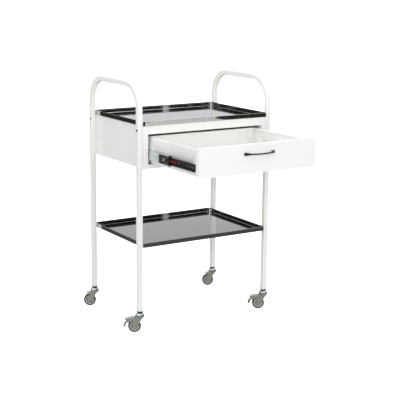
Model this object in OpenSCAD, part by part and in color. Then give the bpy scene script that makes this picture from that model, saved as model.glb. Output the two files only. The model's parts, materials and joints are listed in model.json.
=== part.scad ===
// Rolling salon trolley: two square-tube hoops on swivel casters carry a lower tray, and a
// drawer casing with an upper tray on it. The drawer runs on two telescopic ball slides and
// stands open, and the casters all trail the same way.
// Millimetres. X runs across the front, left to right, Y from front to back, Z up.
// The origin lies on the floor, midway between the four legs.

/* [Hoops] */
// Distance between the left and right leg centres
leg_span_x = 580; // [540:5:640]
// Distance between the front and back leg centres
leg_span_y = 385; // [360:5:440]
// Outside width of the square tube
tube_w = 20; // [20:1:22]
// Wall of the square tube
tube_wall = 1.5; // [1:0.1:2]
// Outside corner radius of the square tube
tube_r = 3; // [2:0.5:4]
// Height of the top of the hoops
hoop_top = 958; // [930:1:1000]
// Radius of the two bends of a hoop, to the tube's centre
bend_r = 95; // [70:1:110]
// Height of the cut ends of the legs
tube_bottom = 84; // [84:1:84]

/* [Trays] */
// Height of the upper tray's rim
upper_rim_z = 814; // [806:1:830]
// Height of the lower tray's rim
lower_rim_z = 351; // [250:1:450]
// Height of a tray's rim above its underside
rim_h = 18; // [15:1:22]
// Sheet thickness of a tray
tray_t = 1; // [0.8:0.1:1.2]
// Radius of a tray's corners
tray_r = 10; // [8:1:14]
// How far a tray stands out past the legs, at the front and at the back
tray_proud = 3; // [0:0.5:6]

/* [Drawer casing] */
// Height of the casing's underside
casing_bottom = 635; // [625:1:640]
// Width of the frame's upright on each side of the drawer
stile_w = 23; // [22:0.5:26]
// Height of the frame's rail above the drawer
top_rail_h = 31; // [28:1:34]
// Height of the frame's rail below the drawer
bottom_rail_h = 17; // [15:1:20]
// Depth of the frame's inner return
return_d = 25; // [22:1:30]
// Sheet thickness of the casing
sheet_t = 1.5; // [1.2:0.1:1.5]
// How far the side panels sit inside the legs
side_inset = 4; // [3:0.5:5]

/* [Drawer] */
// Thickness of the drawer's front board
front_t = 18; // [16:1:18]
// Gap around the front board when the drawer is shut
front_gap = 3; // [2:0.5:4]
// How far the drawer stands open
drawer_open = 347.5; // [340:0.5:347.5]
// Wall thickness of the drawer's steel box
box_t = 1.2; // [1:0.1:1.5]
// Width of the folded hem along the drawer's sides
hem_w = 8; // [6:1:10]
// Overall width of the handle
handle_w = 131; // [125:1:136]
// How far the handle stands out
handle_out = 27; // [24:1:30]

/* [Slides] */
// Thickness of a closed slide
slide_t = 12.7; // [12.7:0.1:12.7]
// Height of a slide's outer member
slide_h = 45.7; // [45.7:0.1:45.7]
// Length of a slide's outer member
slide_len = 350; // [350:1:350]

/* [Casters] */
// Radius of a wheel
wheel_r = 25; // [25:0.5:25]
// Width of a wheel
wheel_w = 18; // [16:1:18]
// Distance from the swivel axis back to the axle
trail = 20; // [18:1:22]
// Direction in which the casters point, about the swivel axis
caster_yaw = -31.2; // [-180:0.1:180]

/* [Hidden] */
$fn = 48;

// Hoops
hoop_x = leg_span_x / 2;
leg_y = leg_span_y / 2;
half_tube = tube_w / 2;
inner_x = hoop_x - half_tube;             // inner faces of the legs
front_y = -(leg_y + half_tube);           // front faces of the legs
bend_z = hoop_top - half_tube - bend_r;
hoop_paint = "whitesmoke";
steel = "lightsteelblue";
zinc = "silver";
fit = 0.1;                                // gap between pieces that only touch

// Trays
tray_half_y = leg_y + half_tube + tray_proud;
tray_half_x = inner_x - fit;
upper_z = upper_rim_z - rim_h;            // undersides of the trays
lower_z = lower_rim_z - rim_h;
rim_hem_w = 2.4;
rim_hem_h = 5;
tray_screw_y = leg_y - 4.5;
tray_screw_r = 1.9;
rivet_nut_r = 3;
screw_heads = [for (z = [upper_z, lower_z]) z + rim_h / 2];

// Casing
casing_top = upper_z;
casing_x = inner_x - fit;
casing_bolt_z = casing_top - 15;
bolt_r = 2.5;
outer_return_d = 18;
opening_x = inner_x - stile_w;            // half width of the drawer opening
opening_z0 = casing_bottom + bottom_rail_h;
opening_z1 = casing_top - top_rail_h;
panel_x = inner_x - side_inset;           // outer faces of the side panels
panel_y = -front_y - outer_return_d + sheet_t;

// Slides, as distances from the casing's side (s) and along Y at rest
slide_z = 687;
rail_t = 1.2;
rail_y0 = front_y + front_t + 1;          // front end of the outer member
outer_w = 11.5;
middle_h = 36;
middle_s = 2.4;
middle_w = 8.6;
middle_len = 320;
middle_y0 = rail_y0 + 10 - drawer_open / 2;
inner_h = 27;
inner_w = 7.9;
inner_y0 = front_y - drawer_open + front_t + 17;
inner_y1 = front_y - drawer_open + slide_len + 1;
box_y1 = inner_y1 + 30;                   // back of the drawer
outer_ball_r = 1.75;
inner_ball_r = 1.575;
outer_ball_z = (slide_h / 2 - rail_t + middle_h / 2) / 2;
inner_ball_z = (middle_h / 2 - rail_t + inner_h / 2) / 2;
outer_ball_s = 6.5;
inner_ball_s = 7.6;
cage_t = 0.8;
cage_web_t = 0.5;
ball_pitch = 16;
ball_rows = 8;
cage_len = ball_pitch * ball_rows;
lever_y = inner_y0 + 130;                 // pivot of the release lever
lever_len = 44;

// Drawer
face_y = front_y - drawer_open;           // front face of the open drawer
board_y1 = face_y + front_t;
board_x = opening_x - front_gap;
board_z0 = opening_z0 + front_gap;
board_z1 = opening_z1 - front_gap - 2;
box_x = opening_x - slide_t;
box_z0 = board_z0 + 2;
box_z1 = board_z1 - 7;
handle_z = (board_z0 + board_z1) / 2 + 19;
handle_hole_x = 48;
bow_t = 6;
bow_h = 5;

// Casters: fixed heights above the floor
collar_h = 5;
head_z = tube_bottom - collar_h;          // underside of the insert's collar
head_r = 17.5;
skirt_z = 60.2;
race_z = 62;
swivel_ball_r = 2;
swivel_ball_ring = 11;
yoke_z = 57.5;
yoke_t = 2;
kingpin_r = 5;
swivel_gap = 0.06;
fork_t = 2;
fork_y = wheel_w / 2 + 1.5;               // inner faces of the fork's cheeks
axle_r = 3;
hub_r = 19;
pedal_pivot = [-17, 54];
pedal_pin_r = 1.6;
pedal_y = fork_y + fork_t + 0.4;          // inner faces of the pedal's cheeks
CASTER_X = [-hoop_x, hoop_x];

// A square with rounded corners, centred.
module rounded_rect(size_x, size_y, r) {
    square([size_x - 2 * r, size_y], center = true);
    square([size_x, size_y - 2 * r], center = true);
    for (x = [-1, 1], y = [-1, 1])
        translate([x * (size_x / 2 - r), y * (size_y / 2 - r)]) circle(r);
}

// A flat outline in X and Z, given its depth from y0 to y1.
module along_y(y0, y1) {
    translate([0, y1, 0]) rotate([90, 0, 0]) linear_extrude(y1 - y0) children();
}

// A box between two corners.
module block(low, high) {
    translate(low) cube(high - low);
}

// A cylinder along X from x0 to x1.
module rod_x(x0, x1, y, z, r) {
    translate([min(x0, x1), y, z]) rotate([0, 90, 0]) cylinder(h = abs(x1 - x0), r = r);
}

// A cylinder along Y from y0 to y1.
module rod_y(y0, y1, x, z, r) {
    translate([x, y1, z]) rotate([90, 0, 0]) cylinder(h = y1 - y0, r = r);
}

// A domed screw head standing on Z = 0.
module dome_head(r, h) {
    rotate_extrude() polygon([[0, 0], for (a = [0 : 15 : 90]) [r * cos(a), h * sin(a)]]);
}

module mirrored(side) {
    mirror([side > 0 ? 1 : 0, 0, 0]) children();
}

module at_legs() {
    for (x = CASTER_X, y = [-leg_y, leg_y]) translate([x, y, 0]) children();
}

// ---- Hoops ----

module tube_section() {
    difference() {
        rounded_rect(tube_w, tube_w, tube_r);
        rounded_rect(tube_w - 2 * tube_wall, tube_w - 2 * tube_wall, tube_r - tube_wall);
    }
}

// The hoop's plane is drawn flat and then stood up in Y and Z.
module hoop_tube() {
    straight = leg_y - bend_r;
    rotate([90, 0, 90]) {
        for (s = [-1, 1]) {
            translate([s * leg_y, tube_bottom, 0]) rotate([-90, 0, 0])
                linear_extrude(bend_z - tube_bottom) tube_section();
            translate([s * straight, bend_z, 0]) rotate([0, 0, s > 0 ? 0 : 90])
                rotate_extrude(angle = 90, $fn = 96) translate([bend_r, 0]) tube_section();
        }
        translate([-straight, bend_z + bend_r, 0]) rotate([0, 90, 0])
            linear_extrude(2 * straight) tube_section();
    }
}

module hoop(side) {
    color(hoop_paint) mirrored(side) difference() {
        translate([-hoop_x, 0, 0]) hoop_tube();
        for (y = [-1, 1]) {
            rod_x(-hoop_x - tube_w, -hoop_x + tube_w, y * leg_y, casing_bolt_z, bolt_r + 0.2);
            for (z = screw_heads)
                rod_x(-hoop_x, -hoop_x + tube_w, y * tray_screw_y, z, rivet_nut_r + 0.05);
        }
    }
}

// ---- Trays ----

module tray(z) {
    width = 2 * tray_half_x;
    depth = 2 * tray_half_y;
    color(steel) translate([0, 0, z]) difference() {
        linear_extrude(rim_h) rounded_rect(width, depth, tray_r);
        translate([0, 0, tray_t]) linear_extrude(rim_h - tray_t - rim_hem_h)
            rounded_rect(width - 2 * tray_t, depth - 2 * tray_t, tray_r - tray_t);
        translate([0, 0, rim_h - rim_hem_h - 0.5]) linear_extrude(rim_hem_h + 1)
            rounded_rect(width - 2 * rim_hem_w, depth - 2 * rim_hem_w, tray_r - rim_hem_w);
        for (s = [-1, 1], y = [-1, 1])
            rod_x(s * (tray_half_x - 3), s * (tray_half_x + 1), y * tray_screw_y, rim_h / 2,
                tray_screw_r + 0.05);
    }
}

// Dome-head screws that hold each tray's rim to the legs.
module tray_screws() {
    head_x = tray_half_x - tray_t;
    color(zinc) for (side = [-1, 1], y = [-1, 1], z = screw_heads) mirrored(side) {
        rod_x(-head_x, -inner_x - 7, y * tray_screw_y, z, tray_screw_r);
        rod_x(-head_x, -head_x + 1, y * tray_screw_y, z, 4);
        rod_x(-head_x + 1, -head_x + 1.6, y * tray_screw_y, z, 3);
    }
}

module tray_rivet_nuts() {
    color(zinc) for (side = [-1, 1], y = [-1, 1], z = screw_heads) mirrored(side)
        difference() {
            rod_x(-inner_x, -inner_x - 8, y * tray_screw_y, z, rivet_nut_r);
            rod_x(-inner_x + 1, -inner_x - 9, y * tray_screw_y, z, tray_screw_r + 0.02);
        }
}

// ---- Casing ----

// Black dome-head bolts through the legs, with their nuts inside the casing.
module casing_bolts() {
    out_x = hoop_x + half_tube;
    color("dimgray") for (side = [-1, 1], y = [-1, 1]) mirrored(side) {
        rod_x(-out_x, -casing_x + sheet_t + 8, y * leg_y, casing_bolt_z, bolt_r);
        translate([-out_x, y * leg_y, casing_bolt_z]) rotate([0, -90, 0]) dome_head(4.8, 3);
    }
}

module casing_nuts() {
    nut_x = casing_x - sheet_t;
    color(zinc) for (side = [-1, 1], y = [-1, 1]) mirrored(side) difference() {
        translate([-nut_x, y * leg_y, casing_bolt_z]) rotate([0, 90, 0])
            cylinder(h = 4, r = 4.6, $fn = 6);
        rod_x(-nut_x - 1, -nut_x + 5, y * leg_y, casing_bolt_z, bolt_r + 0.02);
    }
}

module bolt_holes() {
    for (side = [-1, 1], y = [-1, 1]) mirrored(side)
        rod_x(-casing_x - 1, -casing_x + sheet_t + 1, y * leg_y, casing_bolt_z, bolt_r + 0.2);
}

// Face with the drawer opening, an outer return behind each leg and an inner return
// around the opening.
module front_frame() {
    face_y1 = front_y + sheet_t;
    color(hoop_paint) difference() {
        union() {
            block([-casing_x, front_y, casing_bottom],
                [casing_x, front_y + outer_return_d, casing_top - fit]);
            block([-opening_x - sheet_t, front_y, opening_z0 - sheet_t],
                [opening_x + sheet_t, front_y + return_d, opening_z1 + sheet_t]);
        }
        // hollow between the face, the outer returns and the inner return
        difference() {
            block([-casing_x + sheet_t, face_y1, casing_bottom + sheet_t],
                [casing_x - sheet_t, front_y + return_d + 1, casing_top - fit - sheet_t]);
            block([-opening_x - sheet_t, face_y1 - 1, opening_z0 - sheet_t],
                [opening_x + sheet_t, front_y + return_d + 2, opening_z1 + sheet_t]);
        }
        block([-opening_x, front_y - 1, opening_z0], [opening_x, front_y + return_d + 1, opening_z1]);
        bolt_holes();
    }
}

module back_panel() {
    color(hoop_paint) difference() {
        block([-casing_x, -front_y - outer_return_d, casing_bottom],
            [casing_x, -front_y, casing_top - fit]);
        block([-casing_x + sheet_t, -front_y - outer_return_d - 1, casing_bottom + sheet_t],
            [casing_x - sheet_t, -front_y - sheet_t, casing_top - fit - sheet_t]);
        bolt_holes();
    }
}

// Flat side with a fold at each end that reaches the frame's outer return.
module side_panel(side) {
    z0 = casing_bottom + sheet_t + fit;
    z1 = casing_top - sheet_t - 2 * fit;
    color(hoop_paint) mirrored(side) {
        block([-panel_x, -panel_y, z0], [-panel_x + sheet_t, panel_y, z1]);
        for (y = [-panel_y, panel_y - sheet_t])
            block([-casing_x + sheet_t, y, z0], [-panel_x + sheet_t, y + sheet_t, z1]);
    }
}

module cover_panel(z) {
    depth = -front_y - outer_return_d - fit;
    color(hoop_paint) block([-panel_x, -depth, z], [panel_x, depth, z + sheet_t]);
}

// Hat-section rail between the side panel and the slide.
module slide_carrier(side) {
    web_x = opening_x;
    y0 = front_y + return_d + fit;
    y1 = -front_y - outer_return_d - fit;
    half_h = slide_h / 2 + 4;
    color(hoop_paint) mirrored(side) difference() {
        union() {
            block([-web_x - sheet_t, y0, slide_z - half_h], [-web_x, y1, slide_z + half_h]);
            for (z = [slide_z - half_h, slide_z + half_h - sheet_t])
                block([-panel_x + sheet_t, y0, z], [-web_x, y1, z + sheet_t]);
        }
        for (y = carrier_screw_y())
            rod_x(-web_x - sheet_t - 1, -web_x + 1, y, slide_z, 2.05);
    }
}

// ---- Slides ----

function carrier_screw_y() = [rail_y0 + 30, rail_y0 + slide_len / 2, rail_y0 + slide_len - 30];
function box_screw_y() = [inner_y0 + 32, inner_y0 + 112, inner_y0 + 252];

// Puts a slide's section at the left side of the opening, with s running inwards.
module at_slide(side) {
    mirrored(side) translate([-opening_x, 0, slide_z]) children();
}

// Channel section whose web stands at s, opening towards dir.
module channel(s, w, h, dir) {
    translate([s, 0]) mirror([dir > 0 ? 0 : 1, 0]) {
        translate([0, -h / 2]) square([rail_t, h]);
        for (z = [-h / 2, h / 2 - rail_t]) translate([0, z]) square([w, rail_t]);
    }
}

module outer_rail(side) {
    lip = 1.5;
    color(zinc) at_slide(side) difference() {
        along_y(rail_y0, rail_y0 + slide_len) {
            channel(0, outer_w, slide_h, 1);
            for (z = [-slide_h / 2, slide_h / 2 - rail_t - lip])
                translate([outer_w - rail_t, z]) square([rail_t, rail_t + lip]);
        }
        for (y = carrier_screw_y()) rod_x(-1, rail_t + 1, y, 0, 3.05);
    }
}

module middle_rail(side) {
    color(zinc) at_slide(side) difference() {
        along_y(middle_y0, middle_y0 + middle_len)
            channel(middle_s, middle_w, middle_h, 1);
        rod_x(middle_s - 1, middle_s + rail_t + 1, middle_y0 + 36, 0, 5);
        for (y = [middle_y0 + 150, middle_y0 + 280])
            rod_x(middle_s - 1, middle_s + rail_t + 1, y, 0, 3);
    }
}

// Plastic end stop on the middle member's front end, with a lug over each edge.
module rail_stop(side) {
    s0 = middle_s - 0.8;
    stop_len = 70;
    lug_z = inner_h / 2 + 0.7;
    color("black") at_slide(side) difference() {
        union() {
            block([s0, middle_y0 - 2, -16], [middle_s - 0.02, middle_y0 + stop_len, 16]);
            block([s0, middle_y0 - 4, -19], [middle_s + middle_w, middle_y0 - 0.05, -lug_z]);
            block([s0, middle_y0 - 4, lug_z], [middle_s + middle_w, middle_y0 - 0.05, 19]);
            block([s0, middle_y0 - 4, -19], [middle_s, middle_y0 - 0.05, 19]);
        }
        rod_x(s0 - 1, middle_s + 1, middle_y0 + 36, 0, 6);
        for (z = [-9, 9]) block([s0 - 1, middle_y0 + 10, z - 2], [middle_s + 1, middle_y0 + 26, z + 2]);
    }
}

module inner_rail(side) {
    web_s = slide_t - rail_t;
    slot_y = inner_y0 + 16;
    color("black") at_slide(side) {
        difference() {
            along_y(inner_y0, inner_y1) channel(slide_t - 0.02, inner_w, inner_h, -1);
            block([web_s - 1, slot_y - 2.2, -3], [slide_t + 1, slot_y + 2.2, 3]);
            for (z = [-3, 3]) rod_x(web_s - 1, slide_t + 1, slot_y, z, 2.2);
            for (y = box_screw_y()) rod_x(web_s - 1, slide_t + 1, y, 0, 2.05);
        }
        rod_x(web_s - 3.6, web_s + 0.1, lever_y, 0, 1.5);
    }
}

// A cage between two members: a bent strip with a row of balls at the top and bottom.
module ball_cage(side, y0, web_s, strip_w, ball_s, ball_z, ball_r) {
    color(zinc) at_slide(side) {
        difference() {
            along_y(y0, y0 + cage_len) {
                translate([web_s, -ball_z - cage_t / 2])
                    square([cage_web_t, 2 * ball_z + cage_t]);
                for (z = [-1, 1])
                    translate([web_s, z * ball_z - cage_t / 2]) square([strip_w, cage_t]);
            }
            for (i = [0.5 : ball_rows], z = [-1, 1])
                translate([ball_s, y0 + i * ball_pitch, z * ball_z - cage_t])
                    cylinder(h = 2 * cage_t, r = ball_r + 0.05, $fn = 24);
        }
        for (i = [0.5 : ball_rows], z = [-1, 1])
            translate([ball_s, y0 + i * ball_pitch, z * ball_z]) sphere(ball_r, $fn = 20);
    }
}

module outer_ball_cage(side) {
    ball_cage(side, rail_y0 + 10, 1.55, 8, outer_ball_s, outer_ball_z, outer_ball_r);
}

module inner_ball_cage(side) {
    ball_cage(side, middle_y0 + 8, 3.95, 6.8, inner_ball_s, inner_ball_z, inner_ball_r);
}

// Spring-tongued lever on the inner member that frees the drawer from the slide.
module release_lever(side) {
    s0 = slide_t - rail_t - 3.5;
    color("firebrick") at_slide(side) difference() {
        union() {
            block([s0, lever_y, -2.5], [s0 + 2.4, lever_y + lever_len, 2.5]);
            block([s0, lever_y + lever_len - 16, -5], [s0 + 2.4, lever_y + lever_len, 5]);
            rod_x(s0, s0 + 2.4, lever_y, 0, 4.5);
        }
        rod_x(s0 - 1, s0 + 4, lever_y, 0, 1.56);
    }
}

// Countersunk screws from the outer members into the carriers.
module slide_screws() {
    color(zinc) for (side = [-1, 1]) at_slide(side) for (y = carrier_screw_y()) {
        rod_x(0, rail_t - 0.1, y, 0, 3);
        rod_x(-sheet_t - 4, 0, y, 0, 2);
    }
}

// ---- Drawer ----

// Floor and sides folded from one sheet, with a hem along the top of each side and a
// flange behind the front board.
module drawer_box() {
    y0 = board_y1 + 0.02;
    inside = box_x - box_t;
    color("white") difference() {
        union() {
            block([-box_x, y0, box_z0], [box_x, box_y1 - box_t - 0.02, box_z0 + box_t]);
            for (side = [-1, 1]) mirrored(side) {
                block([-box_x, y0, box_z0], [-inside, box_y1, box_z1]);
                block([-box_x, y0, box_z1 - box_t], [-box_x + hem_w, box_y1, box_z1]);
                block([-box_x + hem_w - box_t, y0, box_z1 - 5], [-box_x + hem_w, box_y1, box_z1]);
                block([-box_x, y0, box_z0], [-box_x + 16, y0 + box_t, box_z1]);
            }
        }
        for (side = [-1, 1], z = front_screw_z()) mirrored(side)
            rod_y(y0 - 1, y0 + box_t + 1, -box_x + 10, z, 2.05);
        for (side = [-1, 1]) at_slide(side) for (y = box_screw_y())
            rod_x(slide_t - 1, slide_t + box_t + 1, y, 0, 2.05);
    }
}

function front_screw_z() = [box_z0 + 20, box_z1 - 22];

// Back of the drawer, between the sides and behind the floor, with a fold along its top.
module drawer_back() {
    inside = box_x - box_t - fit;
    hem_x = box_x - hem_w - fit;
    color("white") {
        block([-inside, box_y1 - box_t, box_z0], [inside, box_y1, box_z1 - 5.2]);
        block([-hem_x, box_y1 - box_t, box_z0], [hem_x, box_y1, box_z1]);
        block([-hem_x, box_y1 - 6, box_z1 - box_t], [hem_x, box_y1, box_z1]);
    }
}

module drawer_front() {
    color("white") difference() {
        block([-board_x, face_y, board_z0], [board_x, board_y1, board_z1]);
        for (x = [-1, 1]) rod_y(face_y - 1, board_y1 + 1, x * handle_hole_x, handle_z, 2.2);
        for (side = [-1, 1], z = front_screw_z()) mirrored(side)
            rod_y(board_y1 - 11, board_y1 + 1, -box_x + 10, z, 1.82);
    }
}

// Screws that fix the front board to the box, and the slides' inner members to its sides.
module drawer_screws() {
    y_head = board_y1 + 0.02 + box_t;
    color(zinc) {
        for (side = [-1, 1], z = front_screw_z()) mirrored(side) {
            rod_y(board_y1 - 10, y_head + 0.1, -box_x + 10, z, 1.8);
            rod_y(y_head, y_head + 2, -box_x + 10, z, 3.6);
        }
        for (side = [-1, 1]) at_slide(side) for (y = box_screw_y()) {
            rod_x(slide_t - rail_t - 0.9, slide_t - rail_t - 0.02, y, 0, 3.4);
            rod_x(slide_t - rail_t - 0.1, slide_t + box_t + 3, y, 0, 2);
        }
    }
}

// Bow handle: a thin arc between two flared feet.
module drawer_handle() {
    foot_x = handle_w / 2;
    half = foot_x - 4;
    rise = handle_out - bow_t;
    r = (half * half + rise * rise) / (2 * rise);
    a = asin(half / r);
    color("black") translate([0, face_y - 0.02, handle_z]) difference() {
        union() {
            translate([0, r - rise - bow_t / 2, 0]) rotate([0, 0, -90 - a])
                rotate_extrude(angle = 2 * a, $fn = 120)
                    translate([r, 0]) rounded_rect(bow_t, bow_h, 2);
            for (side = [-1, 1]) mirror([side > 0 ? 1 : 0, 0, 0]) hull() {
                block([-foot_x, -3, -6.5], [-foot_x + 26, 0, 6.5]);
                block([-foot_x + 2, -8, -4.5], [-foot_x + 21, 0, 4.5]);
            }
        }
        for (x = [-1, 1]) rod_y(-7, 1, x * handle_hole_x, 0, 2.02);
        block([-foot_x, 0, -10], [foot_x, 10, 10]);
    }
}

module handle_screws() {
    color(zinc) for (x = [-1, 1]) translate([x * handle_hole_x, 0, handle_z]) {
        rod_y(face_y - 6, board_y1 + 0.1, 0, 0, 2);
        rod_y(board_y1 + 0.02, board_y1 + 2.4, 0, 0, 4);
    }
}

// ---- Casters ----

// Plastic plug in each leg with a collar under the tube's end.
module leg_inserts() {
    bore = tube_w - 2 * tube_wall - 0.1;
    color("black") at_legs() difference() {
        union() {
            translate([0, 0, head_z + 0.05]) linear_extrude(collar_h - 0.05)
                rounded_rect(tube_w, tube_w, tube_r);
            translate([0, 0, tube_bottom - 0.1]) linear_extrude(38)
                rounded_rect(bore, bore, 1.4);
        }
        translate([0, 0, head_z - 1]) cylinder(h = 60, r = kingpin_r + 0.02);
    }
}

// Stem, domed head and skirt over the ball race, and the kingpin with its riveted end.
module caster_stems() {
    roof = race_z + 2 * swivel_ball_r + 0.1;
    color(zinc) at_legs() rotate_extrude() polygon([
        [0, yoke_z - 2.5], [7, yoke_z - 2.5], [7, yoke_z - 0.3], [kingpin_r, yoke_z - 0.3],
        [kingpin_r, roof], [head_r - 1.5, roof], [head_r - 1.5, skirt_z], [head_r, skirt_z],
        [head_r, roof], for (a = [0 : 15 : 75]) [head_r - 8.5 * (1 - cos(a)), roof + 10.5 * sin(a)],
        [7.5, roof + 11.2], [7, head_z], [kingpin_r, head_z], [kingpin_r, head_z + 34],
        [kingpin_r - 1, head_z + 35], [0, head_z + 35]]);
}

module swivel_balls() {
    color(zinc) at_legs() for (i = [0 : 11]) rotate([0, 0, i * 30])
        translate([swivel_ball_ring, 0, race_z + swivel_ball_r + 0.05])
            sphere(swivel_ball_r, $fn = 20);
}

// Places a caster part under its leg, turned to the direction the casters point in.
module at_caster(x, y) {
    translate([x * hoop_x, y * leg_y, 0]) rotate([0, 0, caster_yaw]) children();
}

// Cheek of the fork, drawn in X and Z: down from the yoke to a boss round the axle.
module fork_cheek() {
    boss_r = 9;
    polygon([[-17, yoke_z + yoke_t], [13, yoke_z + yoke_t], [9.5, 56], [5.5, 50.5], [1, 41],
        [-trail + boss_r, wheel_r], [-trail - boss_r + 0.5, wheel_r + 2], [-25, 42], [-22, 50]]);
    translate([-trail, wheel_r]) circle(boss_r);
}

module fork(x, y, braked) {
    lip_y = fork_y + fork_t;
    color(zinc) at_caster(x, y) difference() {
        union() {
            for (s = [-1, 1]) {
                y0 = s > 0 ? fork_y : -fork_y - fork_t;
                along_y(y0, y0 + fork_t) fork_cheek();
            }
            block([-17, -lip_y, yoke_z], [13, lip_y, yoke_z + yoke_t]);
            translate([0, 0, yoke_z]) cylinder(h = race_z - yoke_z, r = 13.5);
            if (!braked) {
                block([-30, -lip_y + 3, 55.5], [-17, lip_y - 3, 57.5 + yoke_t]);
                block([-31.5, -lip_y + 3, 50.5], [-29, lip_y - 3, 57.5 + yoke_t]);
            }
        }
        translate([0, 0, yoke_z - 1]) cylinder(h = 8, r = kingpin_r + swivel_gap);
        for (s = [-1, 1]) {
            y0 = s > 0 ? fork_y - 1 : -fork_y - fork_t - 1;
            rod_y(y0, y0 + fork_t + 2, -trail, wheel_r, axle_r + 0.02);
            if (braked)
                rod_y(y0, y0 + fork_t + 2, pedal_pivot[0], pedal_pivot[1], pedal_pin_r + 0.05);
        }
    }
}

// Axle bolt with its head on the near cheek and a lock nut on the far one.
module axle(x, y) {
    out_y = fork_y + fork_t;
    color(zinc) at_caster(x, y) {
        rod_y(-out_y - 0.1, out_y + 4.5, -trail, wheel_r, axle_r);
        rod_y(-out_y - 2.6, -out_y - 0.02, -trail, wheel_r, 5.5);
        translate([-trail, out_y + 3.9, wheel_r]) rotate([90, 0, 0])
            cylinder(h = 3.88, r = 5.6, $fn = 6);
    }
}

// Turned about the axle: a section drawn as radius and distance along the axle.
module about_axle(x, y) {
    at_caster(x, y) translate([-trail, 0, wheel_r]) rotate([90, 0, 0])
        rotate_extrude($fn = 96) children();
}

module hub(x, y) {
    half = wheel_w / 2;
    bore = axle_r + 0.05;
    color("darkgray") about_axle(x, y) polygon([
        [bore, -fork_y + 0.4], [7, -fork_y + 0.4], [7, -half + 2], [11, -half + 3.5],
        [12, -half + 1.5], [17, -half + 0.6], [hub_r, -half + 0.6],
        [hub_r, half - 0.6], [17, half - 0.6], [12, half - 1.5],
        [11, half - 3.5], [7, half - 2], [7, fork_y - 0.4], [bore, fork_y - 0.4]]);
}

// Tyre section: flat tread with shoulders rounded by an arc.
module tyre(x, y) {
    half = wheel_w / 2;
    shoulder = 3.5;
    color("gray") about_axle(x, y) polygon([
        [hub_r + 0.02, -half],
        for (a = [-90 : 15 : 0])
            [wheel_r - shoulder + shoulder * cos(a), -half + shoulder + shoulder * sin(a)],
        for (a = [0 : 15 : 90])
            [wheel_r - shoulder + shoulder * cos(a), half - shoulder + shoulder * sin(a)],
        [hub_r + 0.02, half]]);
}

// Cheek of the brake pedal, drawn in X and Z.
module pedal_cheek() {
    polygon([[-13, 52], [-14, 57], [-19, 59.6], [-34, 58.5], [-46, 55], [-50, 50],
        [-47, 41], [-40, 42], [-33, 44.5], [-25, 47.5], [-17, 50]]);
}

// Brake: a pressed cover over the wheel with a tab to lift it, a pad to press it and a shoe
// above the tread.
module brake_pedal(x, y) {
    cheek_t = 1.5;
    half = pedal_y + cheek_t;
    tab_half = 9;
    color(zinc) at_caster(x, y) {
        for (y0 = [-half, pedal_y]) along_y(y0, y0 + cheek_t) pedal_cheek();
        rod_y(-half, half, pedal_pivot[0], pedal_pivot[1], pedal_pin_r);
        // top of the cover, the shoe under it, the lifting tab, the release lip and the pad
        along_y(-half, half) polygon([[-19, 59.6], [-34, 58.5], [-46, 55], [-50, 50], [-47, 41],
            [-45.6, 41.8], [-48.3, 50], [-45.1, 53.7], [-33.8, 57], [-19, 58]]);
        along_y(-wheel_w / 2, wheel_w / 2) polygon([[-33, 57.8], [-31, 51.5], [-27, 51.8], [-26, 58]]);
        along_y(-tab_half, tab_half) polygon([[-48, 50], [-52.2, 52], [-52, 62], [-50.2, 62], [-49.8, 53.5], [-47, 53]]);
        along_y(-5, 5) polygon([[-57.5, 52], [-55.5, 54], [-46.5, 44], [-48.5, 41.5]]);
        along_y(-tab_half - 2, tab_half + 2)
            polygon([[-45.8, 41.5], [-49, 45.5], [-60, 36], [-63.5, 26], [-58, 21.5], [-54, 26],
                [-51.5, 37]]);
    }
}

hoop(-1);  // left_hoop
hoop(1);  // right_hoop
tray(upper_z);  // upper_tray
tray(lower_z);  // lower_tray
tray_screws();
tray_rivet_nuts();
casing_bolts();
casing_nuts();
front_frame();
back_panel();
side_panel(-1);  // left_side_panel
side_panel(1);  // right_side_panel
cover_panel(casing_top - fit - sheet_t);  // top_panel
cover_panel(casing_bottom);  // bottom_panel
slide_carrier(-1);  // left_slide_carrier
slide_carrier(1);  // right_slide_carrier
slide_screws();
outer_rail(-1);  // left_outer_rail
outer_rail(1);  // right_outer_rail
middle_rail(-1);  // left_middle_rail
middle_rail(1);  // right_middle_rail
rail_stop(-1);  // left_rail_stop
rail_stop(1);  // right_rail_stop
inner_rail(-1);  // left_inner_rail
inner_rail(1);  // right_inner_rail
outer_ball_cage(-1);  // left_outer_ball_cage
outer_ball_cage(1);  // right_outer_ball_cage
inner_ball_cage(-1);  // left_inner_ball_cage
inner_ball_cage(1);  // right_inner_ball_cage
release_lever(-1);  // left_release_lever
release_lever(1);  // right_release_lever
drawer_box();
drawer_back();
drawer_front();
drawer_screws();
drawer_handle();
handle_screws();
leg_inserts();
caster_stems();
swivel_balls();
fork(-1, -1, true);  // front_left_fork
fork(1, -1, true);  // front_right_fork
fork(-1, 1, false);  // rear_left_fork
fork(1, 1, false);  // rear_right_fork
axle(-1, -1);  // front_left_axle
axle(1, -1);  // front_right_axle
axle(-1, 1);  // rear_left_axle
axle(1, 1);  // rear_right_axle
hub(-1, -1);  // front_left_hub
hub(1, -1);  // front_right_hub
hub(-1, 1);  // rear_left_hub
hub(1, 1);  // rear_right_hub
tyre(-1, -1);  // front_left_tyre
tyre(1, -1);  // front_right_tyre
tyre(-1, 1);  // rear_left_tyre
tyre(1, 1);  // rear_right_tyre
brake_pedal(-1, -1);  // front_left_brake_pedal
brake_pedal(1, -1);  // front_right_brake_pedal
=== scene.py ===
"""Rolling salon trolley: its visible pieces, finishes and studio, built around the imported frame.

Metres, in the frame's own axes: X across the front, Y from front to back, Z up from the floor.
"""

import json
import math

import bmesh
import bpy
from bpy.props import FloatProperty, FloatVectorProperty, IntProperty, PointerProperty
from mathutils import Matrix, Vector


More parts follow.
